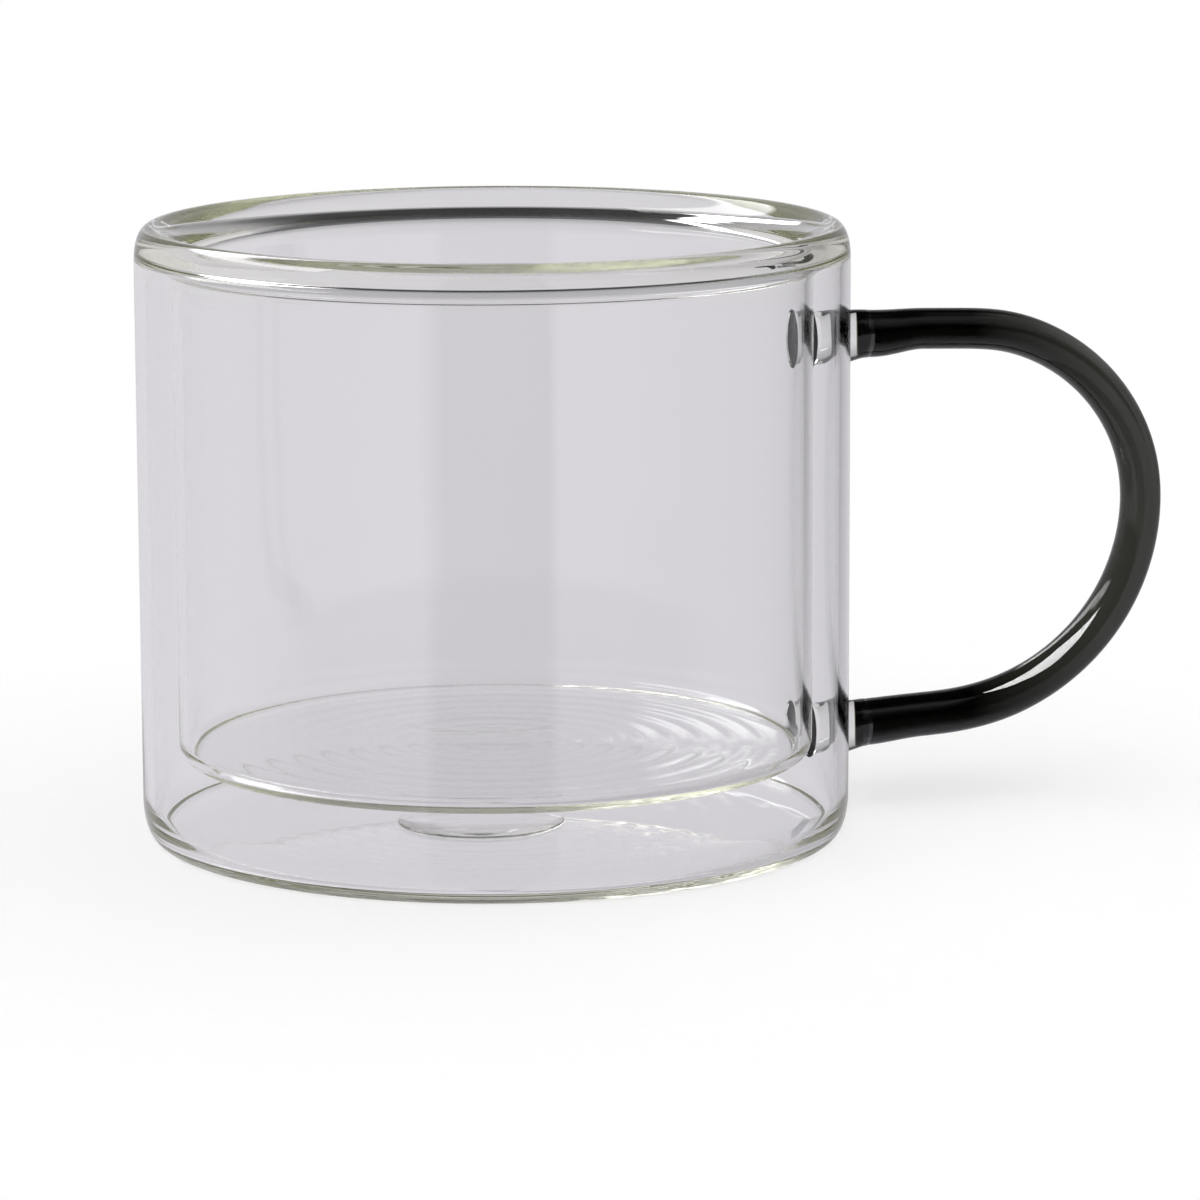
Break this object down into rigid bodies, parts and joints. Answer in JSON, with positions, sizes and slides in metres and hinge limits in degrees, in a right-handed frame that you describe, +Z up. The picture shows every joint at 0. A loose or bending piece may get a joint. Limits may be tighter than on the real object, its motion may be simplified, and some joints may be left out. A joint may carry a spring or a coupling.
{
  "type": "double walled glass cup",
  "caption": "Straight-sided double-walled cup of clear glass with a thick fused rim, sealed air between its walls and a looped handle bent from smoky glass rod.",
  "frame": {"origin": "on the cup's axis, in the plane that it stands on", "axes": "+Z up along the cup's axis, +X from the axis towards the handle, +Y across the handle's plane"},
  "size_m": [0.1311, 0.085, 0.0732],
  "materials": {
    "clear_glass": "polished clear glass",
    "rim_glass": "polished clear glass, faintly green where it is thick",
    "weld_glass": "clear glass, flame-worked",
    "smoky_glass": "polished smoky grey-green glass, nearly black"
  },
  "bodies": {
    "root": {"outer_shell": "clear_glass", "inner_cup": "clear_glass", "rim_ring": "rim_glass", "vent_seal": "clear_glass", "handle": "smoky_glass", "upper_handle_weld": "weld_glass", "lower_handle_weld": "weld_glass"}
  },
  "joints": []
}
